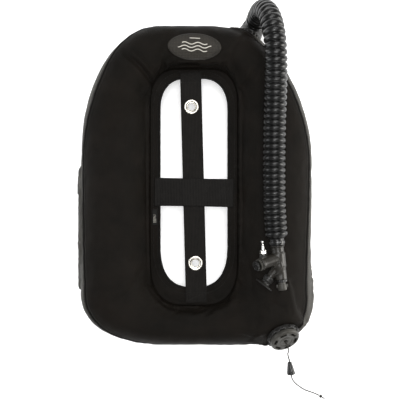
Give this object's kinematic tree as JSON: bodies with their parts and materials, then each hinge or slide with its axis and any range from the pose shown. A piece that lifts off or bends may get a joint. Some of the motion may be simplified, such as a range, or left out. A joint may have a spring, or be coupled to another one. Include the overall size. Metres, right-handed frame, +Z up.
{
  "type": "buoyancy compensator wing",
  "caption": "Ring-shaped diving buoyancy wing with backplate strap, corrugated inflator hose and pull dump valve.",
  "frame": {"origin": "middle of the box of everything but the hose and cord, on the floor it lies on", "axes": "+Z up, to the diver's side; +Y to the head end; +X to the side that carries the hose. The wing lies on its back."},
  "size_m": [0.4543, 0.7182, 0.1839],
  "materials": {
    "nylon_front": "matte black-brown coated nylon, plain weave",
    "nylon_side": "matte dark grey ballistic nylon",
    "piping": "black bound edge",
    "bladder_film": "welded film",
    "webbing": "black woven webbing",
    "elastic": "black ribbed elastic",
    "nickel": "bright nickel plate",
    "badge_rubber": "moulded soft badge with a dotted ground",
    "label_cloth": "satin label, no text",
    "zipper_nylon": "black moulded nylon",
    "zipper_metal": "black enamelled slider",
    "valve_plastic": "fine-textured black moulding",
    "seal_rubber": "soft black rubber",
    "spring_steel": "bright spring wire",
    "grey_plastic": "grey moulded cap",
    "inflator_plastic": "dark grey moulding",
    "button_plastic": "black moulding",
    "chrome_brass": "chromed brass",
    "hose_rubber": "black corrugated rubber",
    "cord_nylon": "braided cord"
  },
  "bodies": {
    "root": {"front_panel": "nylon_front", "back_panel": "nylon_side", "perimeter_piping": "piping", "air_bladder": "bladder_film", "opening_flange": "nylon_front", "opening_binding": "piping", "center_strap": "webbing", "cross_strap": "elastic", "upper_grommet": "nickel", "upper_grommet_washer": "nickel", "lower_grommet": "nickel", "lower_grommet_washer": "nickel", "badge": "badge_rubber", "care_label": "label_cloth", "zipper_tape": "webbing", "zipper_coil": "zipper_nylon", "port_flange": "valve_plastic", "port_gasket": "seal_rubber", "port_ring": "valve_plastic", "hose_elbow": "valve_plastic", "upper_tie": "zipper_nylon", "dump_flange": "valve_plastic", "dump_gasket": "seal_rubber", "dump_base": "valve_plastic", "dump_spring": "spring_steel", "dump_cap": "grey_plastic", "inflator_body": "inflator_plastic", "lower_tie": "zipper_nylon", "qd_nipple": "chrome_brass", "inflate_spring": "spring_steel", "inflate_bezel": "inflator_plastic", "mouthpiece": "seal_rubber", "exhaust_spring": "spring_steel", "exhaust_bezel": "button_plastic", "inflator_hose": "hose_rubber"},
    "inflate_button": {"inflate_button": "button_plastic"},
    "exhaust_button": {"exhaust_button": "inflator_plastic", "exhaust_seal": "seal_rubber"},
    "dump_plunger": {"dump_disc": "seal_rubber", "dump_cord": "cord_nylon", "dump_toggle": "button_plastic", "cord_knot": "cord_nylon"},
    "zipper_slider": {"zipper_slider": "zipper_metal"},
    "zipper_pull": {"zipper_pull": "zipper_nylon"}
  },
  "joints": [
    {"name": "inflate_press", "type": "slide", "parent": "root", "child": "inflate_button", "axis": [0.8495, 0.2751, -0.4501], "range_m": [0, 0.003], "stiffness_N_per_m": 800, "springref_m": -0.002, "deforming": ["inflate_spring"]},
    {"name": "exhaust_press", "type": "slide", "parent": "root", "child": "exhaust_button", "axis": [-0.0872, 0.9962, 0], "range_m": [0, 0.004], "stiffness_N_per_m": 600, "springref_m": -0.002, "deforming": ["exhaust_spring"]},
    {"name": "dump_pull", "type": "slide", "parent": "root", "child": "dump_plunger", "axis": [0.2998, -0.6796, 0.6696], "range_m": [0, 0.005], "stiffness_N_per_m": 500, "springref_m": -0.003, "deforming": ["dump_spring"]},
    {"name": "zipper_slide", "type": "slide", "parent": "root", "child": "zipper_slider", "axis": [0, -1, 0], "range_m": [0, 0.17]},
    {"name": "pull_flip", "type": "hinge", "parent": "zipper_slider", "child": "zipper_pull", "pos_m": [-0.21286, -0.00161, 0.03121], "axis": [0.3205, 0, -0.9473], "range_deg": [0, 170]}
  ]
}
